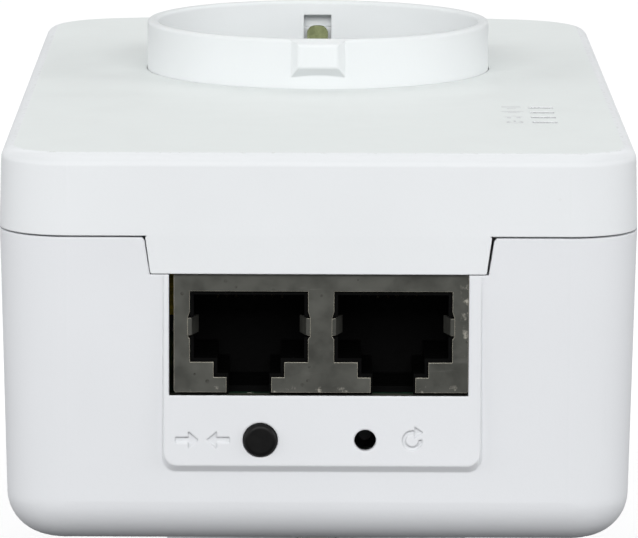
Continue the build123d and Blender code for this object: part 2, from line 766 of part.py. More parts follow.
with BuildPart() as jack_shield:
    with BuildSketch(front_plane(jack_face_y)):
        with Locations((jack_centre_x, (shield_bottom_z + jack_top_z) / 2)):
            Rectangle(jack_width, jack_top_z - shield_bottom_z)
    extrude(amount=-jack_depth)
    fillet(jack_shield.edges().filter_by(Axis.Y), 0.25)
    with BuildSketch(front_plane(jack_face_y + sheet)):
        with Locations((jack_centre_x, (shield_bottom_z + jack_top_z) / 2 - sheet)):
            Rectangle(jack_width - 2 * sheet, jack_top_z - shield_bottom_z)
    extrude(amount=-(jack_depth - 2 * sheet), mode=Mode.SUBTRACT)
    with BuildSketch(front_plane(jack_face_y)):
        for x in port_xs:
            with Locations((x, 0)):
                add(port_opening(0.0, logic_board_top - 1))
            for side in (-1, 1):
                notch_x = x + side * (port_width / 2 + spring_tab_notch)
                edge_x = x + side * (port_width / 2 - 0.1)
                with BuildLine():
                    Polyline(
                        (edge_x, spring_tab_z + spring_tab_height / 2 + 1.1),
                        (notch_x, spring_tab_z + spring_tab_height / 2 + 0.1),
                        (notch_x, spring_tab_z - spring_tab_height / 2 - 0.1),
                        (edge_x, spring_tab_z - spring_tab_height / 2 - 0.5),
                        close=True,
                    )
                make_face()
    extrude(amount=-sheet, mode=Mode.SUBTRACT)
    # spring tabs folded in at both sides of each opening
    with BuildSketch(Plane.XY.offset(spring_tab_z - spring_tab_height / 2)):
        for x in port_xs:
            for side in (-1, 1):
                with BuildLine():
                    Polyline(
                        (x + side * (port_width / 2 + spring_tab_notch + 0.06), jack_face_y),
                        (x + side * (port_width / 2 - 0.22), jack_face_y + 0.44),
                        (x + side * (port_width / 2 - 0.92), jack_face_y + 2.6),
                        (x + side * (port_width / 2 - 0.66), jack_face_y + 2.7),
                        (x + side * (port_width / 2 + 0.02), jack_face_y + 0.66),
                        (x + side * (port_width / 2 + spring_tab_notch + 0.06), jack_face_y + sheet),
                        close=True,
                    )
                make_face()
    extrude(amount=spring_tab_height)
save(jack_shield, "jack_shield")

contact_root = (jack_face_y + 3.4, port_top_z - plastic_inset - 0.3)     # (y, z)
contact_tip = (jack_face_y + 11.0, 42.7)
contact_size = 0.34
contact_pitch = 1.02

with BuildPart() as jack_body:
    with BuildSketch(front_plane(jack_face_y + sheet)):
        with Locations((jack_centre_x, (logic_board_top + jack_top_z - sheet) / 2)):
            Rectangle(jack_width - 2 * sheet, jack_top_z - sheet - logic_board_top)
    extrude(amount=-(jack_depth - 2 * sheet))
    # the front foot stands clear of the window's sill
    with BuildSketch(front_plane(jack_face_y)):
        with Locations((jack_centre_x, logic_board_top)):
            Rectangle(jack_width, 2 * sill_clearance)
    extrude(amount=-2.4, mode=Mode.SUBTRACT)
    with BuildSketch(front_plane(jack_face_y + sheet)):
        for x in port_xs:
            with Locations((x, spring_tab_z)):
                Rectangle(port_width + 3 * spring_tab_notch, spring_tab_height + 0.3)
    extrude(amount=-4.4, mode=Mode.SUBTRACT)
    # the latch slot is open to the board at the front and has a floor further in
    for depth, slot_bottom_z in (
        (slot_floor_depth, logic_board_top - 1),
        (opening_depth, slot_floor_z),
    ):
        with BuildSketch(front_plane(jack_face_y + sheet)):
            for x in port_xs:
                with Locations((x, 0)):
                    add(port_opening(plastic_inset, slot_bottom_z))
        extrude(amount=-depth, mode=Mode.SUBTRACT)
save(jack_body, "jack_body")

with BuildPart() as jack_contacts:
    for x in port_xs:
        for i in range(8):
            with BuildSketch(side_plane(x + (i - 3.5) * contact_pitch - contact_size / 2)):
                with BuildLine():
                    Polyline(
                        contact_root,
                        contact_tip,
                        (contact_tip[0], contact_tip[1] + contact_size),
                        (contact_root[0], contact_root[1] + contact_size - 0.06),
                        close=True,
                    )
                make_face()
            extrude(amount=contact_size)
save(jack_contacts, "jack_contacts")

# ---------------------------------------------------------------------------------------------
# Pair button, reset plunger and their switches under the logic board
# ---------------------------------------------------------------------------------------------

button_radius = 1.86
button_face_y = front_y - 0.45
button_flange_y = front_y + 2.85
switch_face_y = front_y + 8.1
switch_size = (7.0, 4.0, 5.2)       # along X, Y and Z
plunger_reach = {"pair_switch": 1.4, "reset_switch": 3.8}
plunger_radius = {"pair_switch": 1.2, "reset_switch": 0.9}
plunger_inside = 1.1

with BuildPart() as pair_button:
    with BuildSketch(front_plane(button_flange_y)):
        with Locations((pair_x, control_z)):
            Circle(button_radius)
    extrude(amount=button_flange_y - button_face_y)
    fillet(pair_button.edges().sort_by(Axis.Y)[0], 0.55)
    with BuildSketch(front_plane(button_flange_y)):
        with Locations((pair_x, control_z)):
            Circle(2.8)
    extrude(amount=-0.8)
    with BuildSketch(front_plane(button_flange_y)):
        with Locations((pair_x, control_z)):
            Circle(1.5)
    extrude(amount=-(switch_face_y - plunger_reach["pair_switch"] - 0.04 - button_flange_y))
save(pair_button, "pair_button")

for name, x in (("pair_switch", pair_x), ("reset_switch", reset_x)):
    reach = plunger_reach[name]
    radius = plunger_radius[name]
    with BuildPart() as switch:
        with BuildSketch(front_plane(switch_face_y)):
            with Locations((x, logic_board_bottom - switch_size[2] / 2)):
                Rectangle(switch_size[0], switch_size[2])
        extrude(amount=-switch_size[1])
        with BuildSketch(front_plane(switch_face_y)):
            with Locations((x, control_z)):
                Circle(radius + 0.05)
        extrude(amount=-(plunger_inside + 0.6), mode=Mode.SUBTRACT)
    save(switch, name)
    with BuildPart() as plunger:
        with BuildSketch(front_plane(switch_face_y + plunger_inside)):
            with Locations((x, control_z)):
                Circle(radius)
        extrude(amount=plunger_inside + reach)
        fillet(plunger.edges().sort_by(Axis.Y)[0], 0.2)
    save(plunger, f"{name}_plunger")

# ---------------------------------------------------------------------------------------------
# Light guide and status LEDs
# ---------------------------------------------------------------------------------------------

led_height = 0.8
guide_web_z = 47.0

with BuildPart() as status_leds:
    with BuildSketch(Plane.XY.offset(logic_board_top)):
        with Locations(*[(led_window_x, y) for y in led_window_ys]):
            Rectangle(1.6, 0.8)
    extrude(amount=led_height)
save(status_leds, "status_leds")

with BuildPart() as light_guide:
    with BuildSketch(Plane.XY.offset(logic_board_top + led_height + 0.3)):
        with Locations(*[(led_window_x, y) for y in led_window_ys]):
            RectangleRounded(led_window[0] - 0.14, led_window[1] - 0.14, 0.23)
    extrude(amount=top_z - 0.06 - logic_board_top - led_height - 0.3)
    guide_middle_y = (led_window_ys[0] + led_window_ys[-1]) / 2
    guide_span = led_window_ys[-1] - led_window_ys[0] + 6.0
    with BuildSketch(Plane.XY.offset(guide_web_z)):
        with Locations((led_window_x, guide_middle_y)):
            Rectangle(1.6, guide_span)
    extrude(amount=1.5)
    with BuildSketch(Plane.XY.offset(logic_board_top)):
        for end in (-1, 1):
            with Locations((led_window_x, guide_middle_y + end * (guide_span / 2 - 0.8))):
                Circle(0.8)
    extrude(amount=guide_web_z + 0.5 - logic_board_top)
save(light_guide, "light_guide")

# ---------------------------------------------------------------------------------------------
# Components on the logic board
# ---------------------------------------------------------------------------------------------

main_chip_place = (-8.0, -41.0)
main_chip_size = (14.0, 14.0, 1.3)
sink_size = (16.0, 16.0, 10.0)
sink_base = 2.0
fin_count = 7


def board_block(place, size, base_z, edge=0.3):
    """A moulded block that stands on a board."""
    with BuildPart() as block:
        with BuildSketch(Plane.XY.offset(base_z)):
            with Locations(place):
                Rectangle(size[0], size[1])
        extrude(amount=size[2])
        fillet(block.edges().filter_by(Axis.Z), edge)
    return block


save(board_block(main_chip_place, main_chip_size, logic_board_top, 0.2), "main_chip")

with BuildPart() as heat_sink:
    with BuildSketch(Plane.XY.offset(logic_board_top + main_chip_size[2])):
        with Locations(main_chip_place):
            Rectangle(sink_size[0], sink_size[1])
    extrude(amount=sink_size[2])
    fin_pitch = sink_size[0] / (fin_count - 0.5)
    with BuildSketch(Plane.XY.offset(logic_board_top + main_chip_size[2] + sink_base)):
        with Locations(main_chip_place):
            with GridLocations(fin_pitch, 1, fin_count - 1, 1):
                Rectangle(fin_pitch / 2, sink_size[1] + 1)
    extrude(amount=sink_size[2], mode=Mode.SUBTRACT)
save(heat_sink, "heat_sink")

with BuildPart() as memory_chips:
    with BuildSketch(Plane.XY.offset(logic_board_top)):
        with Locations((9.5, -46.0), (9.5, -37.5)):
            Rectangle(10.0, 6.0)
    extrude(amount=1.1)
save(memory_chips, "memory_chips")

with BuildPart() as ethernet_transformers:
    with BuildSketch(Plane.XY.offset(logic_board_top)):
        with Locations((-8.5, -53.8), (8.5, -53.8)):
            RectangleRounded(13.0, 7.5, 0.4)
    extrude(amount=6.0)
save(ethernet_transformers, "ethernet_transformers")

with BuildPart() as crystal:
    with BuildSketch(Plane.XY.offset(logic_board_top)):
        with Locations((9.5, -30.0)):
            SlotOverall(11.0, 4.6)
    extrude(amount=3.5)
    fillet(crystal.faces().sort_by(Axis.Z)[-1].edges(), 0.4)
save(crystal, "crystal")

save(board_block((-17.5, -29.0), (11.0, 8.0, 9.0), logic_board_top), "coupling_transformer")

# ---------------------------------------------------------------------------------------------
# Components on the power board
# ---------------------------------------------------------------------------------------------


def capacitor_cans(places, radius, height):
    """Round capacitor cans that stand on the power board, each with its crimp groove."""
    with BuildPart() as cans:
        with BuildSketch(Plane.XY.offset(power_board_top)):
            with Locations(*places):
                Circle(radius)
        extrude(amount=height)
        with BuildSketch(Plane.XY.offset(power_board_top + 1.6)):
            with Locations(*places):
                Circle(radius + 1)
                Circle(radius - 0.4, mode=Mode.SUBTRACT)
        extrude(amount=0.8, mode=Mode.SUBTRACT)
        fillet(cans.faces().sort_by(Axis.Z)[-len(places):].edges(), 0.5)
    return cans


save(capacitor_cans([(-14.6, 29.0), (-14.6, 40.0)], 5.0, 18.0), "bulk_capacitors")
save(capacitor_cans([(14.4, 29.4), (14.4, 39.0)], 4.0, 13.0), "output_capacitors")

with BuildPart() as power_transformer:
    with BuildSketch(Plane.XY.offset(power_board_top)):
        with Locations((0, 35.0)):
            Rectangle(18.0, 15.0)
    extrude(amount=2.0)
    with BuildSketch(Plane.XY.offset(power_board_top + 2.0)):
        with Locations((0, 35.0)):
            RectangleRounded(11.0, 15.0, 3.0)
            Rectangle(18.0, 5.0)
    extrude(amount=11.0)
    with BuildSketch(Plane.XY.offset(power_board_top + 13.0)):
        with Locations((0, 35.0)):
            Rectangle(18.0, 5.0)
    extrude(amount=3.0)
save(power_transformer, "power_transformer")

save(board_block((-25.0, 16.6), (5.6, 14.0, 11.0), power_board_top), "film_capacitor")

with BuildPart() as line_choke:
    with BuildSketch(Plane.XY.offset(power_board_top)):
        with Locations((25.2, 16.6)):
            Rectangle(5.4, 13.6)
    extrude(amount=1.5)
    with BuildSketch(side_plane(25.2 - 2.2)):
        with Locations((16.6, power_board_top + 7.0)):
            Circle(6.2)
            Circle(3.0, mode=Mode.SUBTRACT)
    extrude(amount=4.4)
save(line_choke, "line_choke")

with BuildPart() as varistor:
    with BuildSketch(front_plane(45.0)):
        with Locations((-4.8, power_board_top + 4.6)):
            Circle(4.0)
        with Locations((-4.8, power_board_top + 1.0)):
            Rectangle(3.0, 2.0)
    extrude(amount=-3.0)
save(varistor, "varistor")

save(board_block((6.0, 46.4), (8.0, 3.6, 8.0), power_board_top), "fuse")
save(board_block((0, 25.4), (14.0, 2.6, 9.5), power_board_top), "bridge_rectifier")

# ---------------------------------------------------------------------------------------------
# Screws and label
# ---------------------------------------------------------------------------------------------

with BuildPart() as housing_screws:
    with BuildSketch(Plane.XY.offset(screw_head_seat_z - 2.2)):
        with Locations(*screw_places):
            Circle(2.7)
    extrude(amount=2.2)
    with BuildSketch(Plane.XY.offset(screw_head_seat_z)):
        with Locations(*screw_places):
            Circle(pilot_radius)
    extrude(amount=12.0)
    with BuildSketch(Plane.XY.offset(screw_head_seat_z - 2.2)):
        with Locations(*screw_places):
            Rectangle(3.0, 0.7)
            Rectangle(0.7, 3.0)
    extrude(amount=1.3, mode=Mode.SUBTRACT)
save(housing_screws, "housing_screws")

with BuildPart() as board_screws:
    for places, seat_z, length in (
        (logic_post_places, logic_board_top, 6.5),
        (power_post_places, power_board_top, 4.2),
    ):
        with BuildSketch(Plane.XY.offset(seat_z)):
            with Locations(*places):
                Circle(2.2)
        extrude(amount=1.5)
        with BuildSketch(Plane.XY.offset(seat_z)):
            with Locations(*places):
                Circle(0.9)
        extrude(amount=-length)
        with BuildSketch(Plane.XY.offset(seat_z + 0.7)):
            with Locations(*places):
                Rectangle(2.6, 0.6)
                Rectangle(0.6, 2.6)
        extrude(amount=0.8, mode=Mode.SUBTRACT)
save(board_screws, "board_screws")

label_thickness = 0.15

with BuildPart() as rating_label:
    with BuildSketch(Plane.XY.offset(back_z - label_thickness)):
        with Locations((0, -46.0)):
            RectangleRounded(38.0, 34.0, 2.0)
    extrude(amount=label_thickness)
save(rating_label, "rating_label")
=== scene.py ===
from math import cos, pi, radians, sin

import bpy
from mathutils import Matrix, Vector


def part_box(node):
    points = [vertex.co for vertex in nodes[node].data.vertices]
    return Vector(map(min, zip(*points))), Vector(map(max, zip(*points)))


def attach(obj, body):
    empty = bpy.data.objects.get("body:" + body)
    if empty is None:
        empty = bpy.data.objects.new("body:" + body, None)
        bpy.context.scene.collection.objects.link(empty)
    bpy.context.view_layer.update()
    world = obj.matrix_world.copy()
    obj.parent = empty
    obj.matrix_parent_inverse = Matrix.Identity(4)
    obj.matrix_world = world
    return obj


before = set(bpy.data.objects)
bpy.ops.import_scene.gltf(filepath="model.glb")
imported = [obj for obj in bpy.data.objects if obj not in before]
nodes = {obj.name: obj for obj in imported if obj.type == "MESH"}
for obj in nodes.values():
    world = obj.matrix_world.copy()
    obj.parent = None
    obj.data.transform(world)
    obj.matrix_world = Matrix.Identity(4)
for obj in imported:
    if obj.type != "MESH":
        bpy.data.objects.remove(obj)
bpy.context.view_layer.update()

# ---------------------------------------------------------------------------------------------
# Frame.  All lengths in the scene are metres; MM turns a length in millimetres into metres.
# The origin is the centre of the plug's face.  -Y is the end with the ports, +Z is the socket.
# ---------------------------------------------------------------------------------------------

MM = 0.001

shield_low, shield_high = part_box("jack_shield")
guide_low, guide_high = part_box("light_guide")
label_low, label_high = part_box("rating_label")
cover_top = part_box("top_cover")[1].z
port_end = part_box("lower_housing")[0].y
pin_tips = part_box("plug_pin_live")[0].z


# ---------------------------------------------------------------------------------------------
# Camera: in front of the ports, looking slightly down, with a long lens
# ---------------------------------------------------------------------------------------------

CAMERA_DISTANCE = 595.7 * MM        # in front of the port end
CAMERA_RISE = 85.1 * MM             # above the top face
CAMERA_SIDE = -1.5 * MM
NEAREST_SEEN = 20 * MM
PITCH = radians(9.308)
YAW = radians(0.149)
ROLL = radians(0.224)
LENS = 313.6                        # lens and sensor are in millimetres, as Blender takes them
SENSOR = 36.0


def add_camera():
    forward = Vector((sin(YAW) * cos(PITCH), cos(YAW) * cos(PITCH), -sin(PITCH)))
    level_right = Vector((cos(YAW), -sin(YAW), 0.0))
    level_up = level_right.cross(forward)
    right = cos(ROLL) * level_right + sin(ROLL) * level_up
    up = -sin(ROLL) * level_right + cos(ROLL) * level_up
    turn = Matrix((right, up, -forward)).transposed().to_4x4()
    place = (CAMERA_SIDE, port_end - CAMERA_DISTANCE, cover_top + CAMERA_RISE)
    camera = bpy.data.objects.new("camera", bpy.data.cameras.new("camera"))
    camera.data.lens = LENS
    camera.data.sensor_width = SENSOR
    camera.data.clip_start = NEAREST_SEEN
    camera.matrix_world = Matrix.Translation(place) @ turn
    bpy.context.scene.collection.objects.link(camera)
    bpy.context.scene.camera = camera


# ---------------------------------------------------------------------------------------------
# Shader building: short calls for the nodes that the finishes share.  Grains, spots, depths and
# edges are in millimetres, and colours are linear.
# ---------------------------------------------------------------------------------------------

NOISE_LOW = 0.3                     # nearly all of a noise lies between these two
NOISE_HIGH = 0.7
USUAL_SPECULAR = 0.5
ROUNDING_SAMPLES = 6
EDGE_BAND_SAMPLES = 8
HARDLY_ROUNDED = 0.99               # cosine of the angle between the rounded and the flat face
WELL_ROUNDED = 0.80


def tinted(factor, colour):
    return tuple(factor * value for value in colour)


class Finish:
    """A material on a Principled shader, with textures in the object's own space."""

    def __init__(self, name, colour, roughness, metallic=0.0, specular=USUAL_SPECULAR):
        self.material = bpy.data.materials.new(name)
        self.material.use_nodes = True
        self.tree = self.material.node_tree
        self.shader = self.tree.nodes["Principled BSDF"]
        self.shader.inputs["Base Color"].default_value = (*colour, 1.0)
        self.shader.inputs["Roughness"].default_value = roughness
        self.shader.inputs["Metallic"].default_value = metallic
        self.shader.inputs["Specular IOR Level"].default_value = specular
        coordinates = self.tree.nodes.new("ShaderNodeTexCoord")
        self.place = coordinates.outputs["Object"]
        self.normal = coordinates.outputs["Normal"]

    def node(self, kind, inputs, **settings):
        """A shader node whose inputs are values or the outputs of other nodes."""
        made = self.tree.nodes.new(kind)
        for name, value in settings.items():
            setattr(made, name, value)
        for key, value in inputs.items():
            if isinstance(value, bpy.types.NodeSocket):
                self.tree.links.new(value, made.inputs[key])
            else:
                made.inputs[key].default_value = value
        return made

    def stretched(self, x, y, z):
        """The object's space, scaled by x, y and z."""
        return self.node("ShaderNodeMapping", {"Vector": self.place, "Scale": (x, y, z)}).outputs[0]

    def noise(self, grain, detail=2.0, rough=0.5, place=None):
        """Soft noise from 0 to 1, with grains of that size."""
        inputs = {
            "Vector": place or self.place,
            "Scale": 1 / (grain * MM),
            "Detail": detail,
            "Roughness": rough,
        }
        return self.node("ShaderNodeTexNoise", inputs).outputs["Fac"]

    def specks(self, spacing, size):
        """Sparse round spots: 1 in a spot and 0 between them."""
        inputs = {"Vector": self.place, "Scale": 1 / (spacing * MM)}
        distance = self.node("ShaderNodeTexVoronoi", inputs).outputs["Distance"]
        return self.math("LESS_THAN", distance, size / spacing)

    def math(self, operation, a, b=0.0):
        return self.node("ShaderNodeMath", {0: a, 1: b}, operation=operation).outputs[0]

    def both(self, a, b):
        """The product of two shares, or of a share and a strength."""
        return self.math("MULTIPLY", a, b)

    def span(self, value, low, high, to_low=0.0, to_high=1.0):
        """value from low to high becomes to_low to to_high, held at the ends."""
        inputs = {"Value": value, 1: low, 2: high, 3: to_low, 4: to_high}
        return self.node("ShaderNodeMapRange", inputs).outputs[0]

    def blend(self, share, first, second):
        """first where share is 0, second where it is 1."""
        mixed = self.node("ShaderNodeMix", {0: share}, data_type="RGBA")
        for socket, value in ((mixed.inputs[6], first), (mixed.inputs[7], second)):
            if isinstance(value, bpy.types.NodeSocket):
                self.tree.links.new(value, socket)
            else:
                socket.default_value = (*value, 1.0)
        return mixed.outputs[2]

    def axis(self, vector, name):
        return self.node("ShaderNodeSeparateXYZ", {0: vector}).outputs[name]

    def below(self, name, limit):
        """1 where the place along an axis is below the limit, in metres."""
        return self.math("LESS_THAN", self.axis(self.place, name), limit)

    def turned(self, name):
        """How squarely a face looks along an axis, either way, from 0 to 1."""
        return self.math("ABSOLUTE", self.axis(self.normal, name))

    def away(self, name, middle):
        """Distance from a middle along an axis, in metres."""
        return self.math("ABSOLUTE", self.math("SUBTRACT", self.axis(self.place, name), middle))

    def paint(self, colour):
        self.tree.links.new(colour, self.shader.inputs["Base Color"])

    def polish(self, value, smooth, dull, low=NOISE_LOW, high=NOISE_HIGH):
        """Roughness from smooth to dull, as the value goes from low to high."""
        roughness = self.span(value, low, high, smooth, dull)
        self.tree.links.new(roughness, self.shader.inputs["Roughness"])

    def edge_band(self, reach):
        """1 on the edges of the piece, 0 farther than reach away from them."""
        rounded = self.node("ShaderNodeBevel", {"Radius": reach * MM}, samples=EDGE_BAND_SAMPLES).outputs[0]
        flat = self.node("ShaderNodeNewGeometry", {}).outputs["True Normal"]
        same = self.node("ShaderNodeVectorMath", {0: rounded, 1: flat}, operation="DOT_PRODUCT")
        return self.span(same.outputs["Value"], HARDLY_ROUNDED, WELL_ROUNDED)

    def relief(self, height, depth, strength, edge=0.0):
        """Bump of that depth, over edges rounded by edge."""
        inputs = {"Height": height, "Distance": depth * MM, "Strength": strength}
        if edge:
            rounded = self.node("ShaderNodeBevel", {"Radius": edge * MM}, samples=ROUNDING_SAMPLES)
            inputs["Normal"] = rounded.outputs[0]
        bump = self.node("ShaderNodeBump", inputs)
        self.tree.links.new(bump.outputs[0], self.shader.inputs["Normal"])


# ---------------------------------------------------------------------------------------------
# Finishes of the outside
# ---------------------------------------------------------------------------------------------

WHITE_COVER = (0.705, 0.722, 0.735)
TOP_FILM = (0.682, 0.714, 0.703)
FILM_DUST = (0.45, 0.46, 0.43)
WHITE_SHELL = (0.690, 0.703, 0.722)
WHITE_SOCKET = (0.650, 0.670, 0.675)
WHITE_SHUTTER = (0.640, 0.655, 0.660)
NICKEL_DARK = (0.62, 0.61, 0.57)
NICKEL_LIGHT = (0.84, 0.83, 0.79)
# brass clips coloured near black: painted shade of their deep pocket and painted dark reflection
CLIP_SHADED_DARK = (0.020, 0.023, 0.011)
CLIP_SHADED_LIGHT = (0.045, 0.050, 0.026)
ZINC_DARK = (0.30, 0.31, 0.33)
ZINC_LIGHT = (0.58, 0.59, 0.62)
# TIN_DARK and TIN_LIGHT are far darker than tin: painted dark reflection of the surroundings
TIN_DARK = (0.092, 0.093, 0.082)
TIN_LIGHT = (0.120, 0.121, 0.108)
TIN_SCRATCH = (0.22, 0.22, 0.20)
TIN_SPOT = (0.03, 0.028, 0.022)
TIN_DEPOSIT = (0.46, 0.44, 0.38)
# pale colour of the cut edges: bare metal, brightened as a painted highlight
TIN_CUT_HIGHLIGHT = (0.70, 0.66, 0.54)
ACRYLIC_IOR = 1.49

FLAT_TOP = 0.9995                   # how squarely a face looks up where the film lies
BORDER_START = 0.93                 # and where the film's border starts, and where it is full
BORDER_FULL = 0.985


def moulded_white(name, colour, edge, film=None):
    """Spark-textured white plastic, with faint clouding and a few handling marks.

    edge is how far its edges look rounded.  film is the colour of a thin film on the flat top,
    with dust caught along its border.  The rounding between the film and the port end is
    painted a little greyer: painted shade that dims its highlight.
    """
    finish = Finish(name, colour, roughness=0.42, specular=0.22)
    clouded = tinted(0.965, colour)
    pitted = tinted(0.95, colour)
    # painted shade for the rounding that looks up and towards the port end
    painted_shade = tinted(0.88, colour)
    grime = (colour[0] * 0.86, colour[1] * 0.85, colour[2] * 0.83)
    clouds = finish.noise(grain=26.0, detail=3.0)
    sparks = finish.noise(grain=0.32, detail=3.0, rough=0.6)
    tone = finish.blend(finish.span(clouds, NOISE_LOW, NOISE_HIGH), clouded, colour)
    tone = finish.blend(finish.span(sparks, 0.25, 0.5, to_low=0.22, to_high=0.0), tone, pitted)
    rubbed = finish.span(finish.noise(grain=9.0, detail=4.0, rough=0.65), 0.58, 0.72, to_high=0.35)
    tone = finish.blend(finish.both(rubbed, finish.specks(spacing=2.6, size=0.2)), tone, grime)
    if film:
        upright = finish.axis(finish.normal, "Z")
        flat = finish.math("GREATER_THAN", upright, FLAT_TOP)
        tone = finish.blend(finish.both(flat, 0.9), tone, film)
        near_flat = finish.span(upright, BORDER_START, BORDER_FULL)
        border = finish.both(near_flat, finish.math("SUBTRACT", 1.0, flat))
        dust = finish.span(finish.noise(grain=0.7, detail=4.0, rough=0.7), 0.55, 0.62, to_high=0.5)
        tone = finish.blend(finish.both(border, dust), tone, FILM_DUST)
        # painted shade: the rounding that looks up and towards the port end is darkened to dim its
        # highlight
        looks_up = finish.span(upright, 0.15, 0.45)
        looks_forward = finish.span(finish.axis(finish.normal, "Y"), -0.15, -0.45)
        tone = finish.blend(finish.both(looks_up, looks_forward), tone, painted_shade)
    finish.paint(tone)
    finish.polish(finish.noise(grain=6.0, detail=4.0), smooth=0.46, dull=0.60)
    finish.relief(sparks, depth=0.012, strength=0.55, edge=edge)
    return finish.material


def black_button():
    """Satin black plastic, greyer where fingers have rubbed it."""
    finish = Finish("black_button", (0.006, 0.006, 0.006), roughness=0.45, specular=0.16)
    worn = finish.span(finish.noise(grain=1.6, detail=4.0, rough=0.6), 0.52, 0.75, to_high=0.5)
    finish.paint(finish.blend(worn, (0.003, 0.003, 0.003), (0.008, 0.008, 0.008)))
    finish.polish(finish.noise(grain=0.7, detail=3.0), smooth=0.40, dull=0.55)
    finish.relief(finish.noise(grain=0.18, detail=3.0), depth=0.01, strength=0.5, edge=0.1)
    return finish.material


def jack_plastic():
    """Black glass-filled plastic of the jack's body."""
    finish = Finish("jack_plastic", (0.006, 0.006, 0.006), roughness=0.5, specular=0.05)
    flecks = finish.span(finish.noise(grain=0.5, detail=4.0, rough=0.7), 0.55, 0.8, to_high=0.6)
    finish.paint(finish.blend(flecks, (0.0012, 0.0012, 0.0012), (0.003, 0.003, 0.003)))
    finish.polish(finish.noise(grain=0.9, detail=3.0), smooth=0.42, dull=0.6)
    finish.relief(finish.noise(grain=0.25, detail=3.0), depth=0.01, strength=0.5)
    return finish.material


def tinned_shield():
    """Dull tinned sheet, coloured far darker than tin: a painted dark reflection.  Blotches,
    scratches and spots, and bright cut edges round its openings: bare cut metal and a painted
    highlight.

    Pale deposits lie along its lower edge and its right end.
    """
    # base colour far darker than tin: painted dark reflection
    finish = Finish("tinned_shield", (0.11, 0.112, 0.10), roughness=0.45, metallic=0.85)
    blotches = finish.noise(grain=3.2, detail=5.0, rough=0.62)
    face = finish.blend(finish.span(blotches, 0.30, 0.72), TIN_DARK, TIN_LIGHT)
    scratches = finish.noise(grain=1.2, detail=4.0, rough=0.7, place=finish.stretched(0.12, 1.0, 1.4))
    face = finish.blend(finish.span(scratches, 0.62, 0.74, to_high=0.25), face, TIN_SCRATCH)
    spots = finish.both(finish.specks(spacing=1.5, size=0.22), finish.span(blotches, 0.5, 0.6))
    face = finish.blend(finish.both(spots, 0.8), face, TIN_SPOT)
    deposit = finish.span(finish.noise(grain=1.1, detail=4.0, rough=0.6), 0.56, 0.66)
    height = finish.axis(finish.place, "Z")
    lower_edge = finish.span(height, shield_low.z + 0.9 * MM, shield_low.z + 0.3 * MM)
    across = finish.axis(finish.place, "X")
    right_end = finish.span(across, shield_high.x - 1.0 * MM, shield_high.x - 0.2 * MM)
    rim = finish.math("MAXIMUM", lower_edge, right_end)
    face = finish.blend(finish.both(deposit, rim), face, TIN_DEPOSIT)
    # painted highlight: a pale band on the edges of the front sheet, where the cut edges catch the
    # light
    front_sheet = finish.below("Y", shield_low.y + 0.35 * MM)
    cut_highlight = finish.both(finish.edge_band(reach=0.12), front_sheet)
    face = finish.blend(finish.both(cut_highlight, 0.8), face, TIN_CUT_HIGHLIGHT)
    finish.paint(face)
    finish.polish(blotches, smooth=0.36, dull=0.58)
    finish.relief(finish.noise(grain=0.5, detail=4.0), depth=0.008, strength=0.6, edge=0.08)
    return finish.material


def plated_metal(name, dark, light, grain=2.0):
    """Plated or drawn metal with fine lines along its length and dull patches."""
    finish = Finish(name, light, roughness=0.26, metallic=1.0)
    patches = finish.noise(grain, detail=4.0, rough=0.6)
    lines = finish.noise(grain=0.5, detail=3.0, rough=0.6, place=finish.stretched(1.0, 1.0, 0.06))
    tone = finish.blend(finish.span(patches, 0.35, 0.7, to_high=0.6), light, dark)
    tone = finish.blend(finish.span(lines, 0.55, 0.75, to_high=0.4), tone, dark)
    finish.paint(tone)
    finish.polish(patches, smooth=0.22, dull=0.34)
    finish.relief(lines, depth=0.006, strength=0.5, edge=0.08)
    return finish.material


def milky_guide():
    """Frosted light guide: a little light goes through it."""
    finish = Finish("milky_guide", (0.66, 0.68, 0.69), roughness=0.22)
    finish.shader.inputs["Transmission Weight"].default_value = 0.35
    finish.shader.inputs["IOR"].default_value = ACRYLIC_IOR
    frost = finish.noise(grain=0.6, detail=3.0)
    finish.paint(finish.blend(frost, (0.52, 0.54, 0.55), (0.70, 0.72, 0.73)))
    finish.polish(frost, smooth=0.16, dull=0.34)
    finish.relief(finish.noise(grain=0.2), depth=0.004, strength=0.5)
    return finish.material


def label_foil():
    """Blank silver label with a printed border and faint brush lines."""
    finish = Finish("label_foil", (0.55, 0.56, 0.57), roughness=0.35, metallic=0.25)
    border_inset = 1.6 * MM
    half_line = 0.18 * MM
    middle = (label_low + label_high) / 2
    half = (label_high - label_low) / 2
    past_border = finish.math(
        "MAXIMUM",
        finish.math("SUBTRACT", finish.away("X", middle.x), half.x - border_inset),
        finish.math("SUBTRACT", finish.away("Y", middle.y), half.y - border_inset),
    )
    border = finish.math("LESS_THAN", finish.math("ABSOLUTE", past_border), half_line)
    brush = finish.noise(grain=0.3, detail=3.0, rough=0.6, place=finish.stretched(0.05, 1.0, 1.0))
    foil = finish.blend(brush, (0.50, 0.51, 0.52), (0.60, 0.61, 0.62))
    finish.paint(finish.blend(border, foil, (0.06, 0.06, 0.07)))
    finish.polish(brush, smooth=0.28, dull=0.45)
    finish.relief(brush, depth=0.004, strength=0.5)
    return finish.material


def printed_ink():
    """Grey pad-printed ink, thin in places."""
    finish = Finish("printed_ink", (0.40, 0.41, 0.42), roughness=0.5)
    thin = finish.span(finish.noise(grain=0.4, detail=3.0), 0.35, 0.7)
    finish.paint(finish.blend(thin, (0.46, 0.47, 0.48), (0.58, 0.59, 0.60)))
    finish.polish(thin, smooth=0.42, dull=0.6, low=0.0, high=1.0)
    finish.relief(thin, depth=0.004, strength=0.4)
    return finish.material


# ---------------------------------------------------------------------------------------------
# Finishes of the inside
# ---------------------------------------------------------------------------------------------

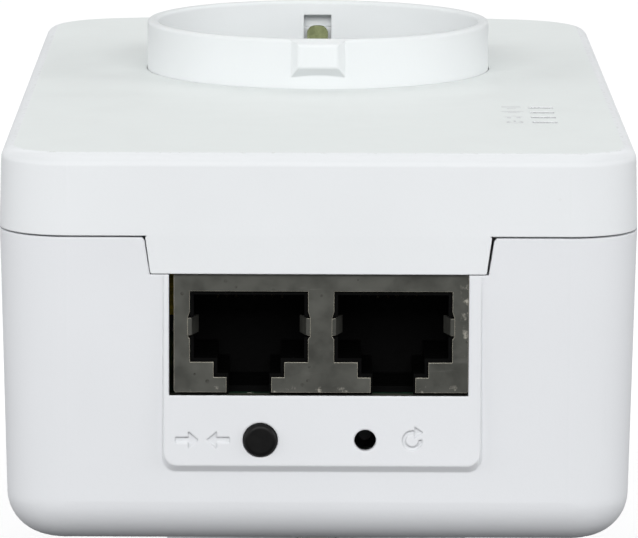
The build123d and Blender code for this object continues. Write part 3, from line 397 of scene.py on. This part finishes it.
BRASS_DARK = (0.42, 0.30, 0.12)
BRASS_LIGHT = (0.72, 0.55, 0.26)
STEEL_DARK = (0.34, 0.35, 0.36)
STEEL_LIGHT = (0.62, 0.63, 0.64)
GOLD_DARK = (0.20, 0.14, 0.05)
GOLD_LIGHT = (0.34, 0.25, 0.10)
# green mask and tracks darkened to the green seen in shadow through the port slots: painted shade
GREEN_MASK_SHADED = (0.003, 0.022, 0.010)
GREEN_TRACK_SHADED = (0.006, 0.042, 0.018)
DARK_EDGE = ((0.010, 0.012, 0.006), (0.020, 0.022, 0.012))
TAN_MASK = (0.10, 0.075, 0.022)
TAN_TRACK = (0.18, 0.12, 0.04)
FIBRE_EDGE = ((0.36, 0.31, 0.16), (0.52, 0.46, 0.27))
SOLDER = (0.62, 0.60, 0.52)
FERRITE = (0.022, 0.021, 0.021)
YELLOW_TAPE = (0.62, 0.44, 0.05)
COPPER_WIRE = (0.45, 0.16, 0.05)
TRACK_SHARE = 0.012                 # of the size of the track pattern


def track_pattern(finish, place, size, row_height, offset):
    """Straight tracks with corners: the joints of a brick pattern, 1 on a track."""
    inputs = {
        "Vector": place,
        "Scale": 1 / (size * MM),
        "Mortar Size": TRACK_SHARE,
        "Row Height": row_height,
    }
    return finish.node("ShaderNodeTexBrick", inputs, offset=offset).outputs["Fac"]


def circuit_board(name, mask, track, edge):
    """Glass-fibre board: solder mask over tracks and pads, and fibre edges between two colours."""
    finish = Finish(name, mask, roughness=0.35)
    quarter_turn = {"Vector": finish.place, "Rotation": (0.0, 0.0, pi / 2)}
    crosswise = finish.node("ShaderNodeMapping", quarter_turn).outputs[0]
    tracks = finish.math(
        "MAXIMUM",
        track_pattern(finish, finish.place, size=12, row_height=0.12, offset=0.37),
        track_pattern(finish, crosswise, size=17, row_height=0.14, offset=0.61),
    )
    face = finish.blend(tracks, mask, track)
    face = finish.blend(finish.specks(spacing=2.4, size=0.34), face, SOLDER)
    fibre = finish.noise(grain=0.5, detail=3.0, rough=0.6, place=finish.stretched(0.2, 0.2, 3.0))
    sides = finish.math("LESS_THAN", finish.turned("Z"), 0.5)
    finish.paint(finish.blend(sides, face, finish.blend(fibre, *edge)))
    finish.polish(finish.noise(grain=5.0, detail=3.0), smooth=0.28, dull=0.45)
    finish.relief(tracks, depth=0.03, strength=0.6)
    return finish.material


def epoxy_chip():
    """Black epoxy package, matt with patches of a slight sheen."""
    finish = Finish("epoxy_chip", (0.012, 0.012, 0.013), roughness=0.55)
    grit = finish.noise(grain=0.14, detail=3.0)
    finish.paint(finish.blend(grit, (0.009, 0.009, 0.010), (0.020, 0.020, 0.022)))
    finish.polish(finish.noise(grain=3.0, detail=3.0), smooth=0.42, dull=0.62)
    finish.relief(grit, depth=0.01, strength=0.6, edge=0.12)
    return finish.material


def extruded_aluminium():
    """Aluminium with drawing lines along its fins."""
    finish = Finish("extruded_aluminium", (0.62, 0.63, 0.65), roughness=0.35, metallic=1.0)
    lines = finish.noise(grain=0.4, detail=3.0, rough=0.6, place=finish.stretched(1.0, 0.05, 1.0))
    finish.paint(finish.blend(lines, (0.50, 0.51, 0.53), (0.72, 0.73, 0.75)))
    finish.polish(lines, smooth=0.28, dull=0.46)
    finish.relief(lines, depth=0.01, strength=0.6, edge=0.1)
    return finish.material


def capacitor_sleeve(name, sleeve, stripe, top):
    """Shrink sleeve with a lighter stripe on two sides, and a bare aluminium top with scored lines."""
    finish = Finish(name, sleeve, roughness=0.3)
    stripe_turn = 0.22              # how far the sleeve's face turns to Y at the stripe's sides
    lid_depth = 1.5 * MM
    wrinkles = finish.noise(grain=1.4, detail=4.0, rough=0.6, place=finish.stretched(1.0, 1.0, 0.3))
    side = finish.blend(finish.span(wrinkles, 0.35, 0.7), sleeve, tinted(1.5, sleeve))
    side = finish.blend(finish.math("LESS_THAN", finish.turned("Y"), stripe_turn), side, stripe)
    grain = finish.noise(grain=0.5, detail=3.0, rough=0.6, place=finish.stretched(1.0, 0.1, 1.0))
    lid = finish.blend(grain, (0.50, 0.51, 0.52), (0.66, 0.67, 0.68))
    lid = finish.blend(finish.below("Z", top - lid_depth), lid, sleeve)
    looks_up = finish.math("GREATER_THAN", finish.axis(finish.normal, "Z"), 0.7)
    finish.paint(finish.blend(looks_up, side, lid))
    finish.polish(wrinkles, smooth=0.22, dull=0.42)
    finish.relief(wrinkles, depth=0.02, strength=0.5, edge=0.1)
    return finish.material


def wound_ferrite(name, low, high, tape, core):
    """Ferrite core above and below a band of taped winding."""
    finish = Finish(name, core, roughness=0.5)
    grit = finish.noise(grain=0.3, detail=3.0)
    stone = finish.blend(grit, core, tinted(1.8, core))
    turns = finish.noise(grain=0.9, place=finish.stretched(0.08, 0.08, 2.2))
    wrap = finish.blend(finish.span(turns, 0.4, 0.6), tape, tinted(0.72, tape))
    wound = finish.math("SUBTRACT", finish.below("Z", high), finish.below("Z", low))
    finish.paint(finish.blend(wound, stone, wrap))
    finish.polish(turns, smooth=0.34, dull=0.6)
    finish.relief(finish.math("ADD", grit, turns), depth=0.02, strength=0.5, edge=0.1)
    return finish.material


def dipped_resin(name, colour, roughness):
    """Conformal resin: smooth lumps and a soft shine."""
    finish = Finish(name, colour, roughness)
    lumps = finish.noise(grain=2.2, detail=3.0)
    finish.paint(finish.blend(finish.span(lumps, 0.35, 0.7), colour, tinted(0.78, colour)))
    finish.polish(lumps, roughness - 0.06, roughness + 0.1)
    finish.relief(lumps, depth=0.05, strength=0.4, edge=0.2)
    return finish.material


def pressed_card():
    """Grey insulating card with short fibres."""
    finish = Finish("pressed_card", (0.30, 0.31, 0.30), roughness=0.7)
    fibres = finish.noise(grain=0.8, detail=4.0, rough=0.7, place=finish.stretched(0.3, 1.0, 1.0))
    finish.paint(finish.blend(fibres, (0.24, 0.25, 0.24), (0.38, 0.39, 0.37)))
    finish.polish(fibres, smooth=0.6, dull=0.8)
    finish.relief(fibres, depth=0.02, strength=0.6)
    return finish.material


def led_body():
    """Small white LED package, patched with yellow phosphor."""
    finish = Finish("led_body", (0.75, 0.74, 0.66), roughness=0.4)
    phosphor = finish.span(finish.noise(grain=0.7), 0.4, 0.6)
    finish.paint(finish.blend(phosphor, (0.78, 0.77, 0.72), (0.74, 0.66, 0.26)))
    finish.polish(phosphor, smooth=0.35, dull=0.5, low=0.0, high=1.0)
    finish.relief(phosphor, depth=0.01, strength=0.5)
    return finish.material


# ---------------------------------------------------------------------------------------------
# Which piece has which finish
# ---------------------------------------------------------------------------------------------


def dress(material, *names):
    """Give CAD nodes their material."""
    for name in names:
        slots = nodes[name].data.materials
        slots.clear()
        slots.append(material)


def dress_capacitors(node, name, sleeve, stripe):
    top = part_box(node)[1].z
    dress(capacitor_sleeve(name, sleeve, stripe, top), node)


def dress_winding(node, name, tape, under, over):
    """The core shows for those heights, in millimetres, under and over its winding."""
    low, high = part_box(node)
    dress(wound_ferrite(name, low.z + under * MM, high.z - over * MM, tape, FERRITE), node)


def dress_outside():
    dress(moulded_white("white_cover", WHITE_COVER, edge=0.16, film=TOP_FILM), "top_cover")
    dress(moulded_white("white_shell", WHITE_SHELL, edge=0.32), "lower_housing")
    dress(moulded_white("white_socket", WHITE_SOCKET, edge=0.3), "socket_cup")
    dress(moulded_white("white_plug", WHITE_SOCKET, edge=0.2), "plug_body", "contact_carrier")
    dress(moulded_white("white_shutter", WHITE_SHUTTER, edge=0.1), "socket_shutter")
    dress(black_button(), "pair_button")
    dress(jack_plastic(), "jack_body")
    dress(tinned_shield(), "jack_shield")
    dress(milky_guide(), "light_guide")
    dress(label_foil(), "rating_label")
    plated = plated_metal("nickel_plate", NICKEL_DARK, NICKEL_LIGHT)
    dress(plated, "plug_pin_live", "plug_pin_neutral", "plug_earth_strip_front")
    dress(plated, "plug_earth_strip_rear", "plug_earth_sleeve")
    # near-black clip colours: painted shade and painted dark reflection
    clips = plated_metal("clip_brass_shaded", CLIP_SHADED_DARK, CLIP_SHADED_LIGHT, grain=1.2)
    dress(clips, "earth_clip_front", "earth_clip_rear")
    zinc = plated_metal("zinc_screw", ZINC_DARK, ZINC_LIGHT, grain=1.0)
    dress(zinc, "housing_screws", "board_screws")


def dress_inside():
    brass = plated_metal("strip_brass", BRASS_DARK, BRASS_LIGHT)
    dress(brass, "earth_strap", "live_busbar", "neutral_busbar", "live_contact", "neutral_contact")
    steel = plated_metal("spring_steel", STEEL_DARK, STEEL_LIGHT, grain=0.8)
    dress(steel, "shutter_spring", "board_link_pins", "crystal")
    gold = plated_metal("contact_gold", GOLD_DARK, GOLD_LIGHT, grain=0.8)
    dress(gold, "jack_contacts")
    # logic board colours hold painted shade
    dress(circuit_board("logic_mask_shaded", GREEN_MASK_SHADED, GREEN_TRACK_SHADED, DARK_EDGE), "logic_board")
    dress(circuit_board("power_mask", TAN_MASK, TAN_TRACK, FIBRE_EDGE), "power_board")
    dress(epoxy_chip(), "main_chip", "memory_chips", "ethernet_transformers", "board_link_spacer")
    switch = dipped_resin("switch_nylon", (0.020, 0.020, 0.021), roughness=0.45)
    dress(switch, "pair_switch", "reset_switch")
    plunger = dipped_resin("plunger_nylon", (0.014, 0.014, 0.014), roughness=0.5)
    dress(plunger, "pair_switch_plunger", "reset_switch_plunger")
    dress(extruded_aluminium(), "heat_sink")
    dress_capacitors("bulk_capacitors", "bulk_sleeve", (0.012, 0.02, 0.06), (0.35, 0.38, 0.42))
    dress_capacitors("output_capacitors", "output_sleeve", (0.02, 0.018, 0.018), (0.42, 0.36, 0.18))
    dress_winding("power_transformer", "taped_transformer", YELLOW_TAPE, under=3.0, over=3.0)
    dress_winding("line_choke", "wound_choke", COPPER_WIRE, under=1.5, over=0.0)
    dress_winding("coupling_transformer", "small_transformer", YELLOW_TAPE, under=2.0, over=2.0)
    dress(dipped_resin("film_yellow", (0.55, 0.38, 0.04), roughness=0.35), "film_capacitor")
    dress(dipped_resin("disc_blue", (0.03, 0.09, 0.30), roughness=0.3), "varistor")
    dress(dipped_resin("fuse_brown", (0.10, 0.05, 0.03), roughness=0.4), "fuse")
    dress(dipped_resin("bridge_black", (0.018, 0.018, 0.019), roughness=0.5), "bridge_rectifier")
    dress(pressed_card(), "insulating_sheet")
    dress(led_body(), "status_leds")


# ---------------------------------------------------------------------------------------------
# Printed signs beside the status lights: plain generic shapes.  Their outlines are lists of
# (x, y) points in millimetres from the middle of the sign, anticlockwise.
# ---------------------------------------------------------------------------------------------

INK_LINE = 0.26
INK_THICKNESS = 0.02 * MM
SIGN_GAP = 3.4 * MM                 # from the light windows to the middle of the signs
GUIDE_END = 3.0 * MM                # the guide reaches this far past its outer lights


def arc_band(rise, radius, start, end, steps=14):
    """A bent line of ink between two angles in degrees, about a centre at that rise."""
    outline = []
    for reach, order in ((radius + INK_LINE / 2, 1), (radius - INK_LINE / 2, -1)):
        angles = [radians(start + (end - start) * i / steps) for i in range(steps + 1)]
        outline += [(reach * cos(angle), rise + reach * sin(angle)) for angle in angles[::order]]
    return outline


def bar(low, high):
    """A rectangle between two corners."""
    return [(low[0], low[1]), (high[0], low[1]), (high[0], high[1]), (low[0], high[1])]


def power_sign():
    stroke = bar((-INK_LINE / 2, 0.15), (INK_LINE / 2, 1.25))
    return [arc_band(0.0, radius=0.85, start=125, end=415), stroke]


def house_sign():
    roof = [(1.25, 0.0), (0.0, 1.15), (-1.25, 0.0), (-0.9, 0.0), (0.0, 0.8), (0.9, 0.0)]
    return [roof, bar((-0.75, -0.95), (-0.30, -0.1)), bar((0.30, -0.95), (0.75, -0.1))]


def waves_sign():
    return [arc_band(-0.9, radius, start=45, end=135, steps=8) for radius in (0.7, 1.25, 1.8)]


def bars_sign():
    return [
        bar((-1.1, -0.2), (1.1, 0.1)),
        bar((-1.1, 0.8), (1.1, 1.1)),
        bar((-0.5, -0.95), (0.5, -0.65)),
    ]


def add_slabs(name, outlines, x, y, base):
    """Outlines about (x, y) as closed slabs of ink on the plane z = base."""
    points = []
    faces = []
    for outline in outlines:
        count = len(outline)
        lower = [len(points) + i for i in range(count)]
        upper = [corner + count for corner in lower]
        for level in (base, base + INK_THICKNESS):
            points += [(x + across * MM, y + along * MM, level) for across, along in outline]
        faces += [lower[::-1], upper]
        faces += [(lower[i - 1], lower[i], upper[i], upper[i - 1]) for i in range(count)]
    data = bpy.data.meshes.new(name)
    data.from_pydata(points, [], faces)
    made = bpy.data.objects.new(name, data)
    bpy.context.scene.collection.objects.link(made)
    return made


def add_signs():
    """One sign beside each light window, from the port end backwards."""
    ink = printed_ink()
    signs = (power_sign, house_sign, waves_sign, bars_sign)
    x = (guide_low.x + guide_high.x) / 2 - SIGN_GAP
    step = (guide_high.y - guide_low.y - 2 * GUIDE_END) / (len(signs) - 1)
    for i, outlines in enumerate(signs):
        y = guide_low.y + GUIDE_END + i * step
        sign = add_slabs(f"printed_sign_{i + 1}", outlines(), x, y, cover_top - INK_THICKNESS / 2)
        sign.data.materials.append(ink)
        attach(sign, "housing")


# ---------------------------------------------------------------------------------------------
# Floor and light
# ---------------------------------------------------------------------------------------------

WHITE = (1.0, 1.0, 1.0)
FLOOR_REACH = 8.0                   # from the origin to the floor's sides
FLOOR_DROP = 0.2 * MM               # below the tips of the plug's pins
FLOOR_COLOUR = (0.99, 0.99, 0.99)
FLOOR_BOUNCE = (0.17, 0.17, 0.175)  # what the object gets back from the floor
EVEN_FROM = 0.5                     # this far from the origin the floor starts to be evenly white
EVEN_TO = 1.2                       # and here it is wholly so
AROUND_COLOUR = (0.985, 0.99, 1.0)
AROUND_STRENGTH = 0.40
OBJECT_MIDDLE = (0.0, 0.0, 0.03)
BEHIND_OBJECT = (0.0, 0.35, 0.0)
FILL_SIZE = (1.0, 0.9)


def add_floor():
    """Pale floor, evenly white far from the object.

    It throws back only part of its light, as a floor with a dark stand under it does.
    """
    finish = Finish("pale_floor", FLOOR_COLOUR, roughness=0.9, specular=0.0)
    dust = finish.span(finish.noise(grain=60.0, detail=3.0), NOISE_LOW, NOISE_HIGH)
    finish.paint(finish.blend(dust, tinted(0.99, FLOOR_COLOUR), FLOOR_COLOUR))
    reach = finish.node("ShaderNodeVectorMath", {0: finish.place}, operation="LENGTH").outputs["Value"]
    far = finish.span(reach, EVEN_FROM, EVEN_TO)
    even = finish.node("ShaderNodeEmission", {"Color": (*WHITE, 1.0), "Strength": 1.0})
    pale = finish.node("ShaderNodeMixShader", {0: far, 1: finish.shader.outputs[0], 2: even.outputs[0]})
    dim = finish.node("ShaderNodeBsdfDiffuse", {"Color": (*FLOOR_BOUNCE, 1.0)})
    seen = finish.node("ShaderNodeLightPath", {}).outputs["Is Camera Ray"]
    mixed = finish.node("ShaderNodeMixShader", {0: seen, 1: dim.outputs[0], 2: pale.outputs[0]})
    output = finish.tree.nodes["Material Output"]
    finish.tree.links.new(mixed.outputs[0], output.inputs["Surface"])
    data = bpy.data.meshes.new("floor")
    level = pin_tips - FLOOR_DROP
    square = ((-1, -1), (1, -1), (1, 1), (-1, 1))
    corners = [(x * FLOOR_REACH, y * FLOOR_REACH, level) for x, y in square]
    data.from_pydata(corners, [], [(0, 1, 2, 3)])
    floor = bpy.data.objects.new("floor", data)
    floor.data.materials.append(finish.material)
    bpy.context.scene.collection.objects.link(floor)


def add_softbox(name, place, target, size, power):
    """A rectangular light that looks at its target."""
    light = bpy.data.lights.new(name, "AREA")
    light.shape = "RECTANGLE"
    light.size, light.size_y = size
    light.energy = power
    softbox = bpy.data.objects.new(name, light)
    softbox.location = place
    softbox.rotation_euler = (Vector(target) - Vector(place)).to_track_quat("-Z", "Y").to_euler()
    bpy.context.scene.collection.objects.link(softbox)


def set_background(background, colour, strength):
    background.inputs["Color"].default_value = (*colour, 1.0)
    background.inputs["Strength"].default_value = strength


def add_world(colour, strength):
    """Even light from all round, which the camera sees as white."""
    world = bpy.data.worlds.new("studio")
    world.use_nodes = True
    tree = world.node_tree
    around = tree.nodes["Background"]
    set_background(around, colour, strength)
    backdrop = tree.nodes.new("ShaderNodeBackground")
    set_background(backdrop, WHITE, 1.0)
    seen = tree.nodes.new("ShaderNodeLightPath")
    mixed = tree.nodes.new("ShaderNodeMixShader")
    tree.links.new(seen.outputs["Is Camera Ray"], mixed.inputs[0])
    tree.links.new(around.outputs[0], mixed.inputs[1])
    tree.links.new(backdrop.outputs[0], mixed.inputs[2])
    tree.links.new(mixed.outputs[0], tree.nodes["World Output"].inputs["Surface"])
    bpy.context.scene.world = world


def light_studio():
    """A key light behind and above the camera, four fills, and a weak light above the rear."""
    add_world(AROUND_COLOUR, AROUND_STRENGTH)
    add_softbox("front_key", (0.0, -1.9, 1.05), OBJECT_MIDDLE, size=(2.6, 0.8), power=43.5)
    for name, side, power in (("left_fill", -1, 17.0), ("right_fill", 1, 18.0)):
        add_softbox(name, (side * 2.2, -0.6, 0.7), OBJECT_MIDDLE, FILL_SIZE, power)
    for name, side in (("left_rear_fill", -1), ("right_rear_fill", 1)):
        add_softbox(name, (side * 1.9, 1.5, 0.6), OBJECT_MIDDLE, FILL_SIZE, power=8.0)
    add_softbox("overhead", (0.0, 0.9, 1.2), BEHIND_OBJECT, size=(1.6, 1.0), power=6.0)
    bpy.context.scene.view_settings.view_transform = "Standard"


add_camera()
dress_outside()
dress_inside()
add_signs()
add_floor()
light_studio()
